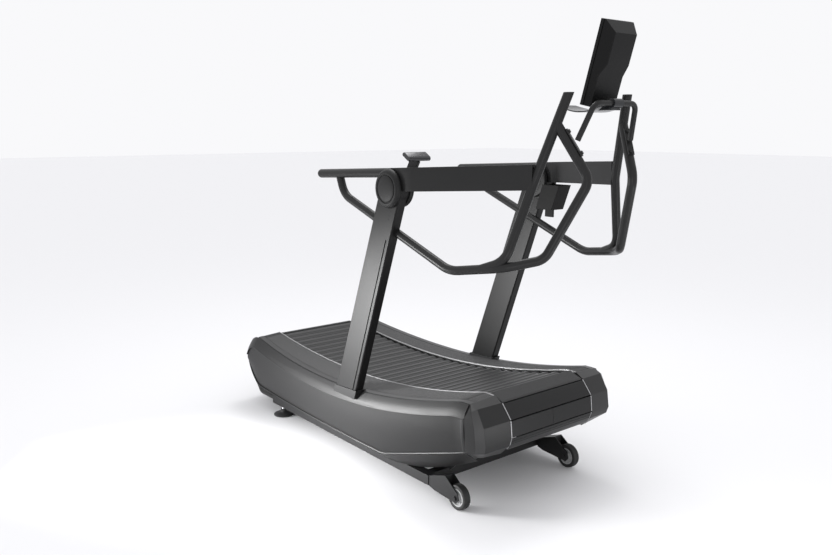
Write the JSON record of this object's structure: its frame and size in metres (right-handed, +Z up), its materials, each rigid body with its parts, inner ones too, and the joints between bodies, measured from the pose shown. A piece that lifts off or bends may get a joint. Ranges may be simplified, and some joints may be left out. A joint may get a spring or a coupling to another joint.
{
  "type": "curved manual treadmill",
  "caption": "Motorless running machine: a slatted belt on a dipped bed, leaning uprights, bent-tube handrails with push horns, a resistance lever and a small console.",
  "frame": {"origin": "on the floor, at the middle of the overall length and width", "axes": "+X towards the console end, +Y to the runner's left, +Z up"},
  "size_m": [2.0768, 0.886, 1.7685],
  "materials": {
    "frame_black": "satin black powder coat",
    "frame_charcoal": "satin charcoal powder coat",
    "bearing_steel": "ground steel",
    "slat_rubber": "matt ribbed rubber",
    "drum_aluminium": "turned aluminium",
    "cover_charcoal": "fine satin plastic",
    "grid_plastic": "plastic with a fine cross-hatched grid",
    "plate_grey": "light textured coating",
    "trim_silver": "satin anodised",
    "rim_grey": "light grey moulded plastic",
    "tyre_black": "solid black rubber",
    "bolt_steel": "zinc-plated steel",
    "bolt_black": "black oxide",
    "foot_rubber": "matt black",
    "boot_grey": "satin dark grey",
    "cap_black": "matt black",
    "grip_chrome": "polished",
    "tray_gloss": "glossy dark grey",
    "console_black": "satin black",
    "console_bezel": "satin black with a glossy edge",
    "screen_glass": "dark display cover",
    "button_green": "soft green key",
    "button_grey": "soft grey key"
  },
  "bodies": {
    "frame": {"base_rail_left": "frame_black", "base_rail_right": "frame_black", "base_cross_tubes": "frame_black", "rear_handle": "frame_black", "deck_plate_left": "frame_black", "deck_plate_right": "frame_black", "guide_rollers": "bearing_steel", "drum_bearings": "bearing_steel", "slat_belt": "slat_rubber", "side_fairing_left": "cover_charcoal", "side_fairing_right": "cover_charcoal", "foot_rail_left": "grid_plastic", "foot_rail_right": "grid_plastic", "front_corner_left": "cover_charcoal", "front_corner_right": "cover_charcoal", "front_top_plate": "plate_grey", "front_upper_panel": "cover_charcoal", "front_middle_panel": "cover_charcoal", "front_lower_panel": "cover_charcoal", "front_trims": "trim_silver", "rear_cover": "cover_charcoal", "wheel_bracket_left": "frame_black", "wheel_bracket_right": "frame_black", "axle_bolts": "bolt_steel", "upright_left": "frame_charcoal", "upright_right": "frame_charcoal", "upright_boots": "boot_grey", "hub_caps": "cover_charcoal", "hub_housings": "cover_charcoal", "handrail_left": "frame_charcoal", "handrail_right": "frame_charcoal", "rail_bar_left": "frame_charcoal", "rail_bar_right": "frame_charcoal", "lower_tube_left": "frame_charcoal", "lower_tube_right": "frame_charcoal", "horn_left": "frame_charcoal", "horn_right": "frame_charcoal", "horn_caps": "cap_black", "arch_tube": "frame_charcoal", "arch_bolts": "bolt_black", "accessory_box": "cap_black"},
    "front_roller": {"front_drum": "drum_aluminium", "brake_disc": "drum_aluminium"},
    "rear_roller": {"rear_drum": "drum_aluminium"},
    "wheel_left": {"wheel_rim_left": "rim_grey", "wheel_tyre_left": "tyre_black"},
    "wheel_right": {"wheel_rim_right": "rim_grey", "wheel_tyre_right": "tyre_black"},
    "foot_left": {"level_foot_left": "foot_rubber"},
    "foot_right": {"level_foot_right": "foot_rubber"},
    "lever": {"lever_arm": "frame_black", "lever_grip": "grip_chrome"},
    "yoke": {"magnet_yoke": "frame_black"},
    "console": {"console_back": "console_black", "console_front": "console_bezel", "console_screen": "screen_glass", "console_tray": "tray_gloss"},
    "start_key": {"button_start": "button_green"},
    "up_key": {"button_up": "button_grey"},
    "down_key": {"button_down": "button_grey"}
  },
  "joints": [
    {"name": "front_roller_spin", "type": "hinge", "parent": "frame", "child": "front_roller", "pos_m": [0.668, 0, 0.368], "axis": [0, 1, 0], "continuous": true},
    {"name": "rear_roller_spin", "type": "hinge", "parent": "frame", "child": "rear_roller", "pos_m": [-0.89, 0, 0.286], "axis": [0, 1, 0], "continuous": true},
    {"name": "wheel_left_spin", "type": "hinge", "parent": "frame", "child": "wheel_left", "pos_m": [0.602, 0.311, 0.05], "axis": [0, 1, 0], "continuous": true},
    {"name": "wheel_right_spin", "type": "hinge", "parent": "frame", "child": "wheel_right", "pos_m": [0.602, -0.311, 0.05], "axis": [0, 1, 0], "continuous": true},
    {"name": "foot_left_screw", "type": "slide", "parent": "frame", "child": "foot_left", "axis": [0, 0, 1], "range_m": [-0.01, 0.012]},
    {"name": "foot_right_screw", "type": "slide", "parent": "frame", "child": "foot_right", "axis": [0, 0, 1], "range_m": [-0.01, 0.012]},
    {"name": "lever_tilt", "type": "hinge", "parent": "frame", "child": "lever", "pos_m": [0.316, -0.352, 1.201], "axis": [0, 1, 0], "range_deg": [-64, 0]},
    {"name": "yoke_swing", "type": "hinge", "parent": "frame", "child": "yoke", "pos_m": [0.566, 0.249, 0.322], "axis": [0, 1, 0], "range_deg": [0, 9]},
    {"name": "console_tilt", "type": "hinge", "parent": "frame", "child": "console", "pos_m": [1.009, 0, 1.503], "axis": [0, 1, 0], "range_deg": [-8, 8]},
    {"name": "start_key_press", "type": "slide", "parent": "console", "child": "start_key", "axis": [0.9622, 0, -0.2723], "range_m": [0, 0.0015], "stiffness_N_per_m": 900},
    {"name": "up_key_press", "type": "slide", "parent": "console", "child": "up_key", "axis": [0.9622, 0, -0.2723], "range_m": [0, 0.0015], "stiffness_N_per_m": 900},
    {"name": "down_key_press", "type": "slide", "parent": "console", "child": "down_key", "axis": [0.9622, 0, -0.2723], "range_m": [0, 0.0015], "stiffness_N_per_m": 900}
  ],
  "couplings": [
    {"joint": "rear_roller_spin", "follows": "front_roller_spin", "ratio": 1},
    {"joint": "yoke_swing", "follows": "lever_tilt", "ratio": -0.14}
  ]
}
